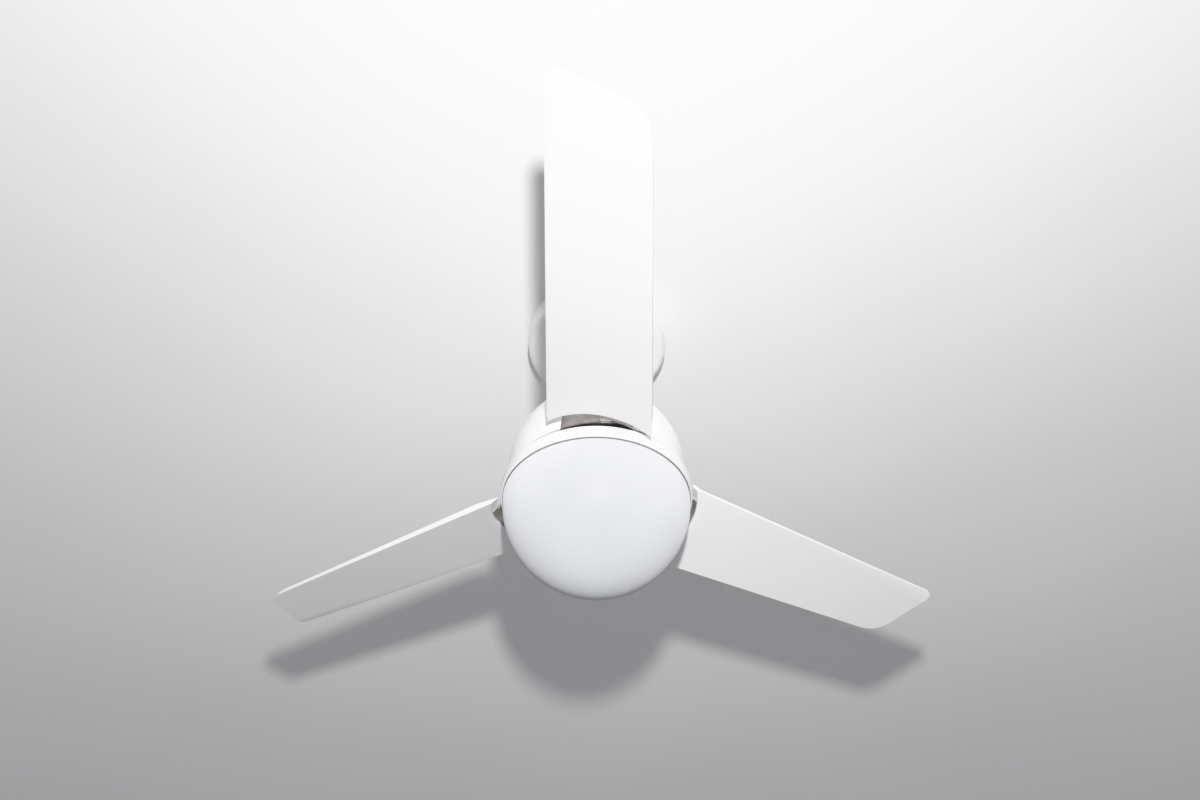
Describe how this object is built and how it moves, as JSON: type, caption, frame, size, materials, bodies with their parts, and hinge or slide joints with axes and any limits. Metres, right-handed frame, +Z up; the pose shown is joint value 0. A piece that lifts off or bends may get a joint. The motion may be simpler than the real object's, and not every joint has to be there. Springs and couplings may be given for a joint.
{
  "type": "ceiling fan with light",
  "caption": "Ceiling fan with pitched moulded blades around a round motor, hung on a downrod under a canopy, with an opal bowl light below.",
  "frame": {"origin": "centre of the two ceiling screw holes, on the bracket's upper face, which lies against the ceiling", "axes": "+Z up into the ceiling along the fan's axis; blade_1 points along -Y; the ceiling screws are in a line along Y"},
  "size_m": [0.8898, 0.7922, 0.435],
  "materials": {
    "bracket_steel": "zinc plated, satin",
    "plated_steel": "bright zinc plate",
    "bearing_steel": "polished",
    "lamination_steel": "varnished stack",
    "arm_steel": "zinc plated, dull",
    "copper_wire": "enamelled copper wire",
    "cast_aluminium": "as cast",
    "white_plastic": "glossy white",
    "blade_plastic": "satin white",
    "white_rod_paint": "gloss white paint",
    "terminal_plastic": "natural",
    "holder_ceramic": "glazed",
    "capacitor_case": "black",
    "bush_rubber": "moulded",
    "lead_sleeving": "PVC",
    "lamp_opal": "opal diffuser",
    "opal_glass": "opal white, glossy"
  },
  "bodies": {
    "ceiling_mount": {"ceiling_bracket": "bracket_steel", "hanger_yoke": "bracket_steel", "hanger_pin": "plated_steel", "hanger_nut": "plated_steel", "terminal_block": "terminal_plastic", "capacitor": "capacitor_case"},
    "canopy": {"canopy": "white_plastic", "canopy_screws": "plated_steel"},
    "hanging_frame": {"downrod": "white_rod_paint", "hanger_bush": "bush_rubber", "rod_bolt": "plated_steel", "rod_nut": "plated_steel", "motor_shaft": "plated_steel", "stator_core": "lamination_steel", "stator_coils": "copper_wire", "bearing_inner_races": "bearing_steel", "bearing_balls": "bearing_steel", "spacer_sleeve": "plated_steel", "light_plate": "bracket_steel", "lock_nut": "plated_steel", "light_ring": "white_plastic", "ring_screws": "plated_steel", "bowl_clips": "plated_steel", "holder_brackets": "bracket_steel", "lamp_holders": "holder_ceramic", "lamps": "lamp_opal", "leads": "lead_sleeving"},
    "rotor": {"upper_cover": "white_plastic", "cover_screws": "plated_steel", "rotor_top": "cast_aluminium", "rotor_bottom": "cast_aluminium", "rotor_ring": "lamination_steel", "rotor_bolts": "plated_steel", "bearing_outer_races": "bearing_steel", "blade_arm_1": "arm_steel", "blade_arm_2": "arm_steel", "blade_arm_3": "arm_steel", "arm_screws": "plated_steel", "blade_1": "blade_plastic", "blade_2": "blade_plastic", "blade_3": "blade_plastic", "blade_screws": "plated_steel"},
    "bowl": {"glass_bowl": "opal_glass"}
  },
  "joints": [
    {"name": "hanger_swing", "type": "hinge", "parent": "ceiling_mount", "child": "hanging_frame", "pos_m": [0, 0, -0.024], "axis": [1, 0, 0], "range_deg": [-2, 2]},
    {"name": "rotor_spin", "type": "hinge", "parent": "hanging_frame", "child": "rotor", "pos_m": [0, 0, -0.27], "axis": [0, 0, 1], "continuous": true},
    {"name": "canopy_slide", "type": "slide", "parent": "ceiling_mount", "child": "canopy", "axis": [0, 0, -1], "range_m": [0, 0.1]},
    {"name": "bowl_drop", "type": "slide", "parent": "hanging_frame", "child": "bowl", "axis": [0, 0, -1], "range_m": [0, 0.12]}
  ]
}
